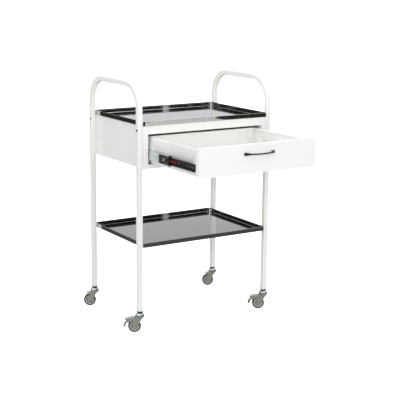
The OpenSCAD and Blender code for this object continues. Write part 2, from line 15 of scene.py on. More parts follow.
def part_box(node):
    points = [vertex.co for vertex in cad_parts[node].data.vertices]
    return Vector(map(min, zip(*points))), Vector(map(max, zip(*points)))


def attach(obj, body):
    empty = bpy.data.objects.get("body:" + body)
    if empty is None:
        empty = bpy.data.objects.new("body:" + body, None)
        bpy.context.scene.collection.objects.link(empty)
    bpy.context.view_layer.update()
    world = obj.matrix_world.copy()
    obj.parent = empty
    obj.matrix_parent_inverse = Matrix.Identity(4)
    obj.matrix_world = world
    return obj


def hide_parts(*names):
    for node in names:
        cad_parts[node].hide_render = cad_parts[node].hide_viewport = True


bl_info = {
    "name": "Rolling salon trolley",
    "version": (1, 0, 0),
    "blender": (4, 5, 0),
    "location": "3D View > Sidebar > Trolley",
    "description": "Builds the trolley's visible pieces around its packed frame",
    "category": "Object",
}

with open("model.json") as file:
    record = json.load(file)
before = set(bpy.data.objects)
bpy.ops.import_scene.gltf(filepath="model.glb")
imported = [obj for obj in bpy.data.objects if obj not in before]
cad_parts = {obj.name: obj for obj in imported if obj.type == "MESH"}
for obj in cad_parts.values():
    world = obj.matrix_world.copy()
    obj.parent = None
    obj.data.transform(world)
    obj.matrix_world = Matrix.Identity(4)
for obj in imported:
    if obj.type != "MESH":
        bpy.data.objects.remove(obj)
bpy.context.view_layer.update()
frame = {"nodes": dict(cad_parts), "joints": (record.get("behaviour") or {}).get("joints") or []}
JOINTS = {joint["name"]: joint for joint in frame["joints"]}
SIDES = {"left": -1, "right": 1}
CASTERS = ("front_left", "front_right", "rear_left", "rear_right")
BRAKED = ("front_left", "front_right")
MM = 0.001
MERGE_DISTANCE = 1e-6
FOLD_ANGLE = math.radians(30.0)  # edges sharper than this are rounded


# ---- Sizes and colours ----


def length(name, description, default, **limits):
    """A property that holds a length in metres."""
    return FloatProperty(name=name, description=description, default=default,
                         unit="LENGTH", precision=4, **limits)


def level(name, description, default, unit="NONE"):
    """A property that holds a light's power or glow."""
    return FloatProperty(name=name, description=description, default=default, min=0.0,
                         unit=unit)


def angle(name, description, degrees):
    """A property that holds an angle."""
    return FloatProperty(name=name, description=description, default=math.radians(degrees),
                         subtype="ANGLE")


def colour(name, description, default):
    """A property that holds a linear colour."""
    return FloatVectorProperty(name=name, description=description, default=default,
                               subtype="COLOR", size=3, min=0.0, max=1.0)


class TrolleySheet(bpy.types.PropertyGroup):
    """Sizes of the tubes, trays and folded panels."""

    bend_radius: length("Hoop bend", "Radius of a hoop's bends, to the tube's centre", 0.095)
    tube_corner: length("Tube corner", "Outside corner radius of the square tube", 0.003)
    bend_steps: IntProperty(name="Bend steps", description="Points along one bend of a hoop",
                            default=28, min=4, max=64)
    tray_corner: length("Tray corner", "Radius of a tray's corners", 0.010)
    tray_sheet: length("Tray sheet", "Thickness of a tray's sheet", 0.001)
    tray_fillet: length("Tray fillet", "Inside radius between a tray's floor and rim", 0.001)
    hem_width: length("Hem width", "Width of the rolled hem on a tray's rim", 0.0024)
    hem_height: length("Hem height", "Height of the rolled hem on a tray's rim", 0.005)
    fold_radius: length("Fold radius", "Outside radius of the casing's folds", 0.0004)
    rail_sheet: length("Rail sheet", "Thickness of the slides' sheet", 0.0012)
    rail_bend: length("Rail bend", "Radius of the slides' folds, to the middle of the sheet",
                      0.0014)
    edging: length("Edging", "Thickness of the edging on the drawer's front board", 0.0008)


class TrolleyColours(bpy.types.PropertyGroup):
    """Base colours of the finishes."""

    paint: colour("Paint", "White powder coat on the hoops and the casing", (0.86, 0.86, 0.84))
    drawer: colour("Drawer", "White powder coat inside the drawer", (0.87, 0.87, 0.855))
    board: colour("Board", "White laminate of the drawer's front", (0.90, 0.90, 0.89))
    steel: colour("Steel", "Polished steel of the trays", (0.60, 0.595, 0.585))
    zinc: colour("Zinc", "Bright zinc plate", (0.68, 0.76, 0.77))
    caster: colour("Caster", "Bright zinc plate on the casters", (0.62, 0.65, 0.62))
    hub: colour("Hub", "Grey plastic of the wheel hubs", (0.36, 0.37, 0.355))
    tyre: colour("Tyre", "Grey rubber of the tyres", (0.060, 0.064, 0.060))
    black: colour("Black", "Black plastic and black plate", (0.014, 0.014, 0.015))
    red: colour("Red", "Plastic of the release levers", (0.22, 0.008, 0.020))


class TrolleyStudio(bpy.types.PropertyGroup):
    """Camera, lights and surroundings."""

    yaw: angle("Yaw", "How far the camera looks to the right of +Y", 31.17)
    pitch: angle("Pitch", "How far the camera looks down", 12.21)
    roll: angle("Roll", "How far the camera leans", 0.31)
    distance: length("Distance", "From the camera to the point that it circles", 4.2396)
    aim_height: length("Aim height", "Height of the point that the camera circles", 0.45)
    focal_length: FloatProperty(name="Focal length", description="Focal length in millimetres",
                                default=94.13, min=20.0, max=200.0)
    shift_x: FloatProperty(name="Shift X", description="Sideways shift of the lens", default=0.0524)
    shift_y: FloatProperty(name="Shift Y", description="Upward shift of the lens", default=0.0009)
    key_power: level("Key", "Power of the front softbox", 10.0, "POWER")
    top_power: level("Top", "Power of the overhead softbox", 40.0, "POWER")
    fill_power: level("Fill", "Power of the softbox on the left", 19.0, "POWER")
    front_power: level("Front", "Power of the wide frontal softbox", 42.0, "POWER")
    tent_glow: level("Tent", "Glow of the white tent round the trolley", 0.68)
    backdrop_glow: level("Backdrop", "Brightness of the white backdrop", 1.15)


# ---- Meshes ----


def linked(name, mesh):
    """A new object in the scene that holds this mesh."""
    piece = bpy.data.objects.new(name, mesh)
    bpy.context.scene.collection.objects.link(piece)
    return piece


def from_bmesh(name, bm, sharp_degrees=35.0):
    """A linked object from a bmesh, with its faces turned outwards and shaded smooth except
    across edges sharper than the angle."""
    bmesh.ops.remove_doubles(bm, verts=bm.verts, dist=MERGE_DISTANCE)
    bmesh.ops.recalc_face_normals(bm, faces=bm.faces)
    mesh = bpy.data.meshes.new(name)
    bm.to_mesh(mesh)
    bm.free()
    mesh.shade_smooth()
    mesh.set_sharp_from_angle(angle=math.radians(sharp_degrees))
    piece = linked(name, mesh)
    even_shading = piece.modifiers.new("even_shading", "WEIGHTED_NORMAL")
    even_shading.keep_sharp = True
    return piece


def add_loft(bm, sections, closed=False):
    """Adds a skin over a row of closed sections, with a cap on each end unless it closes."""
    rings = [[bm.verts.new(point) for point in section] for section in sections]
    for ring, following in zip(rings, rings[1:] + (rings[:1] if closed else [])):
        for i in range(len(ring)):
            j = (i + 1) % len(ring)
            bm.faces.new((ring[i], ring[j], following[j], following[i]))
    if not closed:
        bm.faces.new(rings[0])
        bm.faces.new(rings[-1])


def add_lathe(bm, profile, matrix, steps=96):
    """Adds a closed profile of radius and height, turned round the matrix's Z axis."""
    angles = [2 * math.pi * i / steps for i in range(steps)]
    add_loft(bm, [[matrix @ Vector((r * math.cos(a), r * math.sin(a), h)) for r, h in profile]
                  for a in angles], closed=True)


def add_turned(bm, profile, steps):
    """Adds a solid turned about Z from a profile that starts and ends on the axis."""
    angles = [2 * math.pi * i / steps for i in range(steps)]
    add_loft(bm, [[(r * math.cos(a), r * math.sin(a), h) for a in angles]
                  for r, h in profile[1:-1]])


def add_prism(bm, outline, start, end, place):
    """Adds a flat outline carried from start to end; place(u, v, w) gives a point in space."""
    add_loft(bm, [[Vector(place(u, v, w)) for u, v in outline] for w in (start, end)])


def prism(name, outline, start, end, place, sharp_degrees=35.0):
    """A linked object that is one prism."""
    bm = bmesh.new()
    add_prism(bm, outline, start, end, place)
    return from_bmesh(name, bm, sharp_degrees)


def arc(centre, radius, first_degrees, last_degrees, steps):
    """Points along an arc in a plane."""
    turn = [math.radians(first_degrees + (last_degrees - first_degrees) * i / steps)
            for i in range(steps + 1)]
    return [(centre[0] + radius * math.cos(a), centre[1] + radius * math.sin(a)) for a in turn]


def rounded(points, radius, steps=4):
    """An open line with each inner corner replaced by an arc."""
    out = [tuple(points[0])]
    for before, corner, after in zip(points, points[1:], points[2:]):
        corner = Vector(corner)
        to_before = (Vector(before) - corner).normalized()
        to_after = (Vector(after) - corner).normalized()
        half = to_before.angle(to_after) / 2
        reach = radius / math.tan(half)
        centre = corner + (to_before + to_after).normalized() * (radius / math.sin(half))
        first = corner + to_before * reach - centre
        last = corner + to_after * reach - centre
        turn = first.angle_signed(last)
        for i in range(steps + 1):
            out.append(tuple(centre + Matrix.Rotation(-turn * i / steps, 2) @ first))
    return out + [tuple(points[-1])]


def strip(line, thickness):
    """The outline of a strip of sheet that follows a centre line in a plane."""
    line = [Vector(point) for point in line]
    one_side, other_side = [], []
    for i, point in enumerate(line):
        before = line[max(i - 1, 0)]
        after = line[min(i + 1, len(line) - 1)]
        along = (after - before).normalized()
        across = Vector((-along.y, along.x)) * (thickness / 2)
        one_side.append(tuple(point + across))
        other_side.append(tuple(point - across))
    return one_side + other_side[::-1]


def softened(name, node_name, radius, segments=2, least_edge=0.0):
    """A copy of a CAD node with its triangles merged into faces and its edges rounded.
    Where least_edge is given, only the longer edges are, so that small holes stay as they are."""
    bm = bmesh.new()
    bm.from_mesh(frame["nodes"][node_name].data)
    bmesh.ops.remove_doubles(bm, verts=bm.verts, dist=MERGE_DISTANCE)
    bmesh.ops.dissolve_limit(bm, angle_limit=math.radians(1.0), verts=bm.verts, edges=bm.edges)
    if least_edge:
        weight = bm.edges.layers.float.new("bevel_weight_edge")
        for edge in bm.edges:
            if (len(edge.link_faces) == 2 and edge.calc_length() > least_edge
                    and edge.calc_face_angle() > FOLD_ANGLE):
                edge[weight] = 1.0
    mesh = bpy.data.meshes.new(name)
    bm.to_mesh(mesh)
    bm.free()
    for layer in list(mesh.attributes):
        if layer.name == "custom_normal":
            mesh.attributes.remove(layer)
    mesh.shade_smooth()
    piece = linked(name, mesh)
    bevel = round_edges(piece, radius, segments).modifiers[-1]
    if least_edge:
        bevel.limit_method = "WEIGHT"
    return piece


def round_edges(piece, radius, segments=2):
    """Rounds a piece's sharp edges and keeps its flat faces flat."""
    piece.data.shade_smooth()
    bevel = piece.modifiers.new("rounded_edges", "BEVEL")
    bevel.width = radius
    bevel.segments = segments
    bevel.limit_method = "ANGLE"
    bevel.angle_limit = FOLD_ANGLE
    bevel.harden_normals = True
    bevel.miter_outer = "MITER_ARC"
    return piece


def drilled(piece, outlines, start, end, place):
    """Cuts prisms with these outlines out of a piece and keeps the result as a plain mesh."""
    bm = bmesh.new()
    for outline in outlines:
        add_prism(bm, outline, start, end, place)
    bmesh.ops.recalc_face_normals(bm, faces=bm.faces)
    cutter = linked("cutter", bpy.data.meshes.new("cutter"))
    bm.to_mesh(cutter.data)
    bm.free()
    cut = piece.modifiers.new("cut", "BOOLEAN")
    cut.operation = "DIFFERENCE"
    cut.solver = "EXACT"
    cut.object = cutter
    depsgraph = bpy.context.evaluated_depsgraph_get()
    mesh = bpy.data.meshes.new_from_object(piece.evaluated_get(depsgraph))
    piece.modifiers.clear()
    bpy.data.objects.remove(cutter)
    bm = bmesh.new()
    bm.from_mesh(mesh)
    name, old = piece.name, piece.data
    bpy.data.objects.remove(piece)
    bpy.data.meshes.remove(old)
    return from_bmesh(name, bm)


def settle(piece, body, slot_name, *node_names):
    """Gives a piece its finish and its body, and hides the CAD nodes that it stands for."""
    piece.data.materials.clear()
    piece.data.materials.append(finish(slot_name))
    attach(piece, body)
    if node_names:
        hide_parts(*node_names)


def recoat(slot_name, *node_names):
    """Gives CAD nodes that stay in view their finish."""
    for node_name in node_names:
        node_object = frame["nodes"][node_name]
        if not node_object.material_slots:
            node_object.data.materials.append(finish(slot_name))
        for material_slot in node_object.material_slots:
            material_slot.material = finish(slot_name)


# ---- Geometry Nodes ----


def put(tree, kind, sockets=None, **settings):
    """Adds a node to a tree; sockets holds each input's value or the output that feeds it."""
    made = tree.nodes.new(kind)
    for key, value in settings.items():
        setattr(made, key, value)
    for key, value in (sockets or {}).items():
        if isinstance(value, bpy.types.NodeSocket):
            tree.links.new(value, made.inputs[key])
        else:
            made.inputs[key].default_value = value
    return made


def growth(name, inputs):
    """A Geometry Nodes tree with these named inputs, and its input node."""
    tree = bpy.data.node_groups.new(name, "GeometryNodeTree")
    tree.interface.new_socket("Geometry", in_out="INPUT", socket_type="NodeSocketGeometry")
    for key, kind in inputs.items():
        tree.interface.new_socket(key, in_out="INPUT", socket_type="NodeSocket" + kind)
    tree.interface.new_socket("Geometry", in_out="OUTPUT", socket_type="NodeSocketGeometry")
    return tree, tree.nodes.new("NodeGroupInput").outputs


def close_growth(tree, geometry, material):
    """Ends a tree in Realize Instances and Set Material."""
    real = put(tree, "GeometryNodeRealizeInstances", {"Geometry": geometry}).outputs[0]
    painted = put(tree, "GeometryNodeSetMaterial", {"Geometry": real, "Material": material})
    output = tree.nodes.new("NodeGroupOutput")
    tree.links.new(painted.outputs[0], output.inputs[0])
    return tree


def bent_tube_tree():
    """Square tube swept along the object's own line, with a bend at each corner."""
    tree, given = growth("bent_tube", {"Bend radius": "Float", "Bend steps": "Int",
                                       "Width": "Float", "Corner radius": "Float",
                                       "Corner steps": "Int", "Material": "Material"})
    line = put(tree, "GeometryNodeMeshToCurve", {"Mesh": given["Geometry"]}).outputs[0]
    path = put(tree, "GeometryNodeFilletCurve", {
        "Curve": line, "Radius": given["Bend radius"], "Count": given["Bend steps"]}, mode="POLY")
    square = put(tree, "GeometryNodeCurvePrimitiveQuadrilateral", {
        "Width": given["Width"], "Height": given["Width"]}, mode="RECTANGLE").outputs[0]
    section = put(tree, "GeometryNodeFilletCurve", {
        "Curve": square, "Radius": given["Corner radius"], "Count": given["Corner steps"]},
        mode="POLY")
    tube = put(tree, "GeometryNodeCurveToMesh", {
        "Curve": path.outputs[0], "Profile Curve": section.outputs[0], "Fill Caps": True})
    return close_growth(tree, tube.outputs[0], given["Material"])


def pressed_rim_tree():
    """The object's own line, carried round a rectangle with rounded corners."""
    tree, given = growth("pressed_rim", {"Width": "Float", "Depth": "Float",
                                         "Corner radius": "Float", "Corner steps": "Int",
                                         "Material": "Material"})
    section = put(tree, "GeometryNodeMeshToCurve", {"Mesh": given["Geometry"]}).outputs[0]
    rectangle = put(tree, "GeometryNodeCurvePrimitiveQuadrilateral", {
        "Width": given["Width"], "Height": given["Depth"]}, mode="RECTANGLE").outputs[0]
    path = put(tree, "GeometryNodeFilletCurve", {
        "Curve": rectangle, "Radius": given["Corner radius"], "Count": given["Corner steps"]},
        mode="POLY")
    rim = put(tree, "GeometryNodeCurveToMesh", {
        "Curve": path.outputs[0], "Profile Curve": section})
    return close_growth(tree, rim.outputs[0], given["Material"])


def rolled_section_tree():
    """The object's own closed outline, carried along Y from Start to End."""
    tree, given = growth("rolled_section", {"Start": "Float", "End": "Float",
                                            "Material": "Material"})
    section = put(tree, "GeometryNodeMeshToCurve", {"Mesh": given["Geometry"]}).outputs[0]
    ends = [put(tree, "ShaderNodeCombineXYZ", {"Y": given[key]}).outputs[0]
            for key in ("Start", "End")]
    path = put(tree, "GeometryNodeCurvePrimitiveLine", {"Start": ends[0], "End": ends[1]})
    rail = put(tree, "GeometryNodeCurveToMesh", {
        "Curve": path.outputs[0], "Profile Curve": section, "Fill Caps": True})
    return close_growth(tree, rail.outputs[0], given["Material"])


def copies_tree():
    """A copy of a shape at each of the object's points, standing along the point's aim."""
    tree, given = growth("copies", {"Shape": "Object", "Size": "Float", "Material": "Material"})
    shape = put(tree, "GeometryNodeObjectInfo", {"Object": given["Shape"]}).outputs["Geometry"]
    aim = put(tree, "GeometryNodeInputNamedAttribute", {"Name": "aim"}, data_type="FLOAT_VECTOR")
    turn = put(tree, "FunctionNodeAlignRotationToVector", {"Vector": aim.outputs[0]}, axis="Z")
    copies = put(tree, "GeometryNodeInstanceOnPoints", {
        "Points": given["Geometry"], "Instance": shape, "Rotation": turn.outputs[0],
        "Scale": given["Size"]})
    return close_growth(tree, copies.outputs[0], given["Material"])


def grown(name, seed, tree_maker, values):
    """Runs a tree on a seed mesh and keeps the result as a plain mesh."""
    tree = bpy.data.node_groups.get(tree_maker.__name__) or tree_maker()
    tree.name = tree_maker.__name__
    holder = linked(name + "_seed", seed)
    modifier = holder.modifiers.new("growth", "NODES")
    modifier.node_group = tree
    for item in tree.interface.items_tree:
        if item.in_out == "INPUT" and item.name in values:
            modifier[item.identifier] = values[item.name]
    depsgraph = bpy.context.evaluated_depsgraph_get()
    mesh = bpy.data.meshes.new_from_object(holder.evaluated_get(depsgraph))
    mesh.name = name
    holder.modifiers.remove(modifier)
    bpy.data.objects.remove(holder)
    bm = bmesh.new()
    bm.from_mesh(mesh)
    bpy.data.meshes.remove(mesh)
    return bm


def line_mesh(points, closed=False):
    """A mesh that holds one line of edges."""
    count = len(points)
    edges = [(i, i + 1) for i in range(count - 1)] + ([(count - 1, 0)] if closed else [])
    mesh = bpy.data.meshes.new("line")
    mesh.from_pydata([(*point, 0.0)[:3] for point in points], edges, [])
    return mesh


def aimed_points(places):
    """A mesh of loose points, each with the direction that a copy on it stands along."""
    mesh = bpy.data.meshes.new("points")
    mesh.from_pydata([place for place, _ in places], [], [])
    aim = mesh.attributes.new("aim", "FLOAT_VECTOR", "POINT")
    aim.data.foreach_set("vector", [value for _, way in places for value in way])
    return mesh


def copied(name, shape, places, slot_name, sharp_degrees=35.0):
    """One mesh of copies of a shape; the shape's own object is removed."""
    bm = grown(name, aimed_points(places), copies_tree,
               {"Shape": shape, "Size": 1.0, "Material": finish(slot_name)})
    bpy.data.objects.remove(shape)
    return from_bmesh(name, bm, sharp_degrees)


# ---- Finishes ----


def shader(name, base, roughness, metallic=0.0, **sockets):
    """A material and its Principled shader, with the sockets that are the same all over."""
    material = bpy.data.materials.new(name)
    material.use_nodes = True
    principled = material.node_tree.nodes["Principled BSDF"]
    principled.inputs["Base Color"].default_value = (*base, 1.0)
    principled.inputs["Roughness"].default_value = roughness
    principled.inputs["Metallic"].default_value = metallic
    for key, value in sockets.items():
        principled.inputs[key.replace("_", " ")].default_value = value
    return material, principled


def grain(tree, scale, detail=2.0, stretch=(1.0, 1.0, 1.0)):
    """Noise over the piece's own coordinates, with about one patch for each 1/scale metres."""
    place = put(tree, "ShaderNodeTexCoord").outputs["Object"]
    mapped = put(tree, "ShaderNodeMapping", {"Vector": place, "Scale": stretch}).outputs[0]
    noise = put(tree, "ShaderNodeTexNoise", {"Vector": mapped, "Scale": scale, "Detail": detail})
    return noise.outputs["Fac"]


def vary_colour(principled, factor, first, second, low=0.35, high=0.65):
    """Colours the surface between two colours as a factor goes from low to high."""
    tree = principled.id_data
    share = put(tree, "ShaderNodeMapRange", {"Value": factor, "From Min": low, "From Max": high})
    mix = put(tree, "ShaderNodeMix", data_type="RGBA")
    tree.links.new(share.outputs[0], mix.inputs[0])
    mix.inputs[6].default_value = (*first, 1.0)
    mix.inputs[7].default_value = (*second, 1.0)
    tree.links.new(mix.outputs[2], principled.inputs["Base Color"])


def vary_roughness(principled, factor, smooth, rough):
    """Lets the roughness follow a factor."""
    tree = principled.id_data
    share = put(tree, "ShaderNodeMapRange", {
        "Value": factor, "From Min": 0.3, "From Max": 0.7, "To Min": smooth, "To Max": rough})
    tree.links.new(share.outputs[0], principled.inputs["Roughness"])


def raise_surface(principled, *layers):
    """Bumps the surface with layers of height, each with its depth in metres."""
    tree = principled.id_data
    normal = None
    for height, depth in layers:
        sockets = {"Height": height, "Distance": depth, "Strength": 1.0}
        if normal is not None:
            sockets["Normal"] = normal
        normal = put(tree, "ShaderNodeBump", sockets).outputs[0]
    tree.links.new(normal, principled.inputs["Normal"])


def scaled(base, share):
    """A colour made lighter or darker."""
    return tuple(min(1.0, part * share) for part in base)


def powder_coat(name, base, roughness):
    """Baked powder paint: a faint orange peel and slow changes of tone and gloss."""
    material, principled = shader(name, base, roughness, Specular_IOR_Level=0.5)
    tree = material.node_tree
    vary_colour(principled, grain(tree, 7.0, 3.0), scaled(base, 0.985),
                scaled(base, 1.01))
    vary_roughness(principled, grain(tree, 35.0, 3.0), roughness * 0.85,
                   roughness * 1.15)
    raise_surface(principled, (grain(tree, 420.0, 1.0), 0.00003),
                  (grain(tree, 1500.0, 2.0), 0.00001))
    return material


def polished_steel(name, base):
    """Mirror-polished sheet: fine polishing lines, slow waves and faint smears."""
    material, principled = shader(name, base, 0.05, 1.0)
    tree = material.node_tree
    vary_colour(principled, grain(tree, 3.0, 2.0), scaled(base, 0.97), base)
    vary_roughness(principled, grain(tree, 11.0, 5.0), 0.03, 0.085)
    raise_surface(principled, (grain(tree, 4.0, 1.0), 0.0006),
                  (grain(tree, 700.0, 2.0, (0.03, 1.0, 1.0)), 0.000002))
    return material


def plated(name, base, roughness, stretch=(1.0, 1.0, 1.0), metallic=1.0):
    """Zinc plate: a mottled tone and marks drawn along the piece by its stretch."""
    material, principled = shader(name, base, roughness, metallic)
    tree = material.node_tree
    warm = (min(1.0, base[0] * 1.08), base[1], base[2] * 0.93)
    vary_colour(principled, grain(tree, 40.0, 3.0), scaled(base, 0.9), warm)
    vary_roughness(principled, grain(tree, 160.0, 4.0, stretch), roughness * 0.7,
                   roughness * 1.4)
    raise_surface(principled, (grain(tree, 500.0, 3.0, stretch), 0.00001))
    return material


def black_plate(name, base):
    """Black plated steel with drawn marks along Y."""
    material, principled = shader(name, base, 0.32, 0.0, Specular_IOR_Level=0.6)
    tree = material.node_tree
    streaks = grain(tree, 350.0, 3.0, (1.0, 0.04, 1.0))
    vary_colour(principled, streaks, base, scaled(base, 1.8))
    vary_roughness(principled, streaks, 0.24, 0.42)
    raise_surface(principled, (streaks, 0.00001))
    return material


def moulded(name, base, roughness, sheen=1.25):
    """Moulded plastic with a fine spark-eroded texture."""
    material, principled = shader(name, base, roughness, Specular_IOR_Level=0.45)
    tree = material.node_tree
    vary_colour(principled, grain(tree, 60.0, 3.0), base, scaled(base, sheen))
    vary_roughness(principled, grain(tree, 90.0, 3.0), roughness * 0.85,
                   roughness * 1.2)
    raise_surface(principled, (grain(tree, 1400.0, 2.0), 0.00002))
    return material


def hub_plastic(name, base):
    """Moulded grey plastic, with painted shade: a near-black colour where its recesses are marked.
    """
    material = moulded(name, base, 0.45, 1.1)
    tree = material.node_tree
    principled = tree.nodes["Principled BSDF"]
    tone = principled.inputs["Base Color"].links[0].from_socket
    # painted shade: the marked recesses are coloured near black in place of the shade that falls in
    # them
    grime = put(tree, "ShaderNodeAttribute", attribute_name="grime").outputs["Fac"]
    mix = put(tree, "ShaderNodeMix", {0: grime}, data_type="RGBA")
    tree.links.new(tone, mix.inputs[6])
    mix.inputs[7].default_value = (*scaled(base, 0.12), 1.0)
    tree.links.new(mix.outputs[2], principled.inputs["Base Color"])
    return material


def laminate(name, base):
    """White laminate: a very fine pearl stretched along the board."""
    material, principled = shader(name, base, 0.34, Specular_IOR_Level=0.5)
    tree = material.node_tree
    pearl = grain(tree, 900.0, 3.0, (0.25, 1.0, 1.0))
    vary_colour(principled, grain(tree, 5.0, 2.0), scaled(base, 0.985), base)
    vary_roughness(principled, pearl, 0.28, 0.42)
    raise_surface(principled, (pearl, 0.000015))
    return material


def grey_rubber(name, base):
    """Non-marking rubber: dusty patches and a scuffed band on the tread."""
    material, principled = shader(name, base, 0.68, Specular_IOR_Level=0.4)
    tree = material.node_tree
    worn = put(tree, "ShaderNodeAttribute", attribute_name="tread").outputs["Fac"]
    dust = put(tree, "ShaderNodeMath", {0: worn, 1: grain(tree, 260.0, 4.0)},
               operation="MULTIPLY").outputs[0]
    vary_colour(principled, dust, base, scaled(base, 1.7), 0.1, 0.8)
    vary_roughness(principled, grain(tree, 120.0, 3.0), 0.55, 0.8)
    raise_surface(principled, (grain(tree, 900.0, 3.0), 0.00005))
    return material


def make_finish(slot_name, name):
    """Makes the material of one of the record's slots."""
    tones = bpy.context.scene.trolley_colours
    makers = {
        "hoop_paint": lambda: powder_coat(name, tones.paint, 0.30),
        "casing_paint": lambda: powder_coat(name, tones.paint, 0.38),
        "drawer_paint": lambda: powder_coat(name, tones.drawer, 0.40),
        "front_board": lambda: laminate(name, tones.board),
        "tray_steel": lambda: polished_steel(name, tones.steel),
        "zinc": lambda: plated(name, tones.zinc, 0.26, (1.0, 0.05, 1.0), 0.85),
        "caster_zinc": lambda: plated(name, tones.caster, 0.32, metallic=0.75),
        "black_rail": lambda: black_plate(name, tones.black),
        "black_bolt": lambda: moulded(name, tones.black, 0.30),
        "black_handle": lambda: moulded(name, tones.black, 0.34),
        "black_plastic": lambda: moulded(name, tones.black, 0.48),
        "red_plastic": lambda: moulded(name, tones.red, 0.35),
        "hub_plastic": lambda: hub_plastic(name, tones.hub),
        "tyre_grey": lambda: grey_rubber(name, tones.tyre),
    }
    return makers[slot_name]()


def finish(slot_name):
    """The material of one of the record's slots, made at its first use."""
    name = "finish_" + slot_name
    return bpy.data.materials.get(name) or make_finish(slot_name, name)


# ---- Studio ----


def make_camera(studio):
    """The camera, on a circle round the trolley."""
    lens = bpy.data.cameras.new("camera")
    lens.sensor_width = 36.0
    lens.lens = studio.focal_length
    lens.shift_x = studio.shift_x
    lens.shift_y = studio.shift_y
    camera = bpy.data.objects.new("camera", lens)
    bpy.context.scene.collection.objects.link(camera)
    turn = (Matrix.Rotation(-studio.yaw, 4, "Z")
            @ Matrix.Rotation(math.pi / 2 - studio.pitch, 4, "X")
            @ Matrix.Rotation(studio.roll, 4, "Z"))
    away = turn.to_3x3() @ Vector((0.0, 0.0, studio.distance))
    camera.matrix_world = Matrix.Translation(Vector((0.0, 0.0, studio.aim_height)) + away) @ turn
    bpy.context.scene.camera = camera


def add_softbox(name, place, target, width, height, power):
    """A soft rectangular light that faces its target."""
    light = bpy.data.lights.new(name, "AREA")
    light.shape = "RECTANGLE"
    light.size = width
    light.size_y = height
    light.energy = power
    lamp = bpy.data.objects.new(name, light)
    bpy.context.scene.collection.objects.link(lamp)
    lamp.location = place
    lamp.rotation_euler = (Vector(target) - Vector(place)).to_track_quat("-Z", "Y").to_euler()
    return lamp


def make_world(studio):
    """Surroundings of a studio: a dark room, a pale backdrop behind the trolley and a ceiling."""
    world = bpy.data.worlds.new("studio")
    bpy.context.scene.world = world
    world.use_nodes = True
    tree = world.node_tree
    way = put(tree, "ShaderNodeTexCoord").outputs["Generated"]
    height = put(tree, "ShaderNodeSeparateXYZ", {0: way}).outputs["Z"]
    ahead = (math.sin(studio.yaw), math.cos(studio.yaw), 0.0)
    facing = put(tree, "ShaderNodeVectorMath", {0: way, 1: ahead}, operation="DOT_PRODUCT")
    backdrop_share = put(tree, "ShaderNodeMapRange", {
        "Value": facing.outputs["Value"], "From Min": 0.70, "From Max": 0.84},
        interpolation_type="SMOOTHSTEP")
    rise = put(tree, "ShaderNodeMapRange", {"Value": height, "From Min": -1.0, "From Max": 1.0})
    backdrop = ramp(tree, rise.outputs[0], (
        (0.48, (0.14, 0.13, 0.10)), (0.51, (0.76, 0.76, 0.80)), (0.575, (0.75, 0.76, 0.80)),
        (0.62, (0.52, 0.52, 0.54)), (0.75, (0.50, 0.50, 0.52)), (1.0, (1.0, 1.0, 1.0))))
    room = ramp(tree, rise.outputs[0], (
        (0.10, (0.55, 0.55, 0.54)), (0.30, (0.20, 0.195, 0.18)), (0.42, (0.035, 0.033, 0.026)),
        (0.63, (0.014, 0.014, 0.014)), (0.70, (0.40, 0.40, 0.38)), (0.80, (0.9, 0.9, 0.9)),
        (1.0, (1.0, 1.0, 1.0))))
    mix = put(tree, "ShaderNodeMix", data_type="RGBA")
    tree.links.new(backdrop_share.outputs[0], mix.inputs[0])
    tree.links.new(room, mix.inputs[6])
    tree.links.new(backdrop, mix.inputs[7])
    background = tree.nodes["Background"]
    tree.links.new(mix.outputs[2], background.inputs["Color"])


def ramp(tree, factor, stops):
    """A colour ramp through these stops."""
    made = put(tree, "ShaderNodeValToRGB", {"Fac": factor})
    elements = made.color_ramp.elements
    while len(elements) > 1:
        elements.remove(elements[-1])
    elements[0].position, elements[0].color = stops[0][0], (*stops[0][1], 1.0)
    for position, tone in stops[1:]:
        elements.new(position).color = (*tone, 1.0)
    return made.outputs["Color"]


def glow(surface, name, base, roughness, strength, **sockets):
    """Gives a surface of the stage a white glow."""
    material, principled = shader(name, base, roughness, **sockets)
    principled.inputs["Emission Color"].default_value = (1.0, 1.0, 1.0, 1.0)
    principled.inputs["Emission Strength"].default_value = strength
    surface.data.materials.append(material)


def make_stage(studio):
    """A white floor and backdrop that only the camera sees, in a white tent that lights."""
    floor = linked("floor", bpy.data.meshes.new("floor"))
    bm = bmesh.new()
    bmesh.ops.create_circle(bm, cap_ends=True, radius=9.0, segments=96)
    bm.to_mesh(floor.data)
    bm.free()
    glow(floor, "pale_floor", (0.85, 0.85, 0.85), 0.8, studio.backdrop_glow)
    for seen_by in ("visible_diffuse", "visible_glossy", "visible_shadow"):
        setattr(floor, seen_by, False)

    backdrop = make_dome("backdrop", 14.0, studio.backdrop_glow)
    backdrop.visible_diffuse = False
    tent = make_dome("light_tent", 12.0, studio.tent_glow)
    tent.visible_camera = False


def make_dome(name, radius, strength):
    """A glowing white globe round the studio that no polished surface mirrors."""
    dome = linked(name, bpy.data.meshes.new(name))
    bm = bmesh.new()
    bmesh.ops.create_uvsphere(bm, u_segments=48, v_segments=24, radius=radius)
    bmesh.ops.reverse_faces(bm, faces=bm.faces)
    bm.to_mesh(dome.data)
    bm.free()
    glow(dome, name, (0.0, 0.0, 0.0), 1.0, strength, Specular_IOR_Level=0.0)
    for seen_by in ("visible_glossy", "visible_transmission", "visible_shadow"):
        setattr(dome, seen_by, False)
    return dome


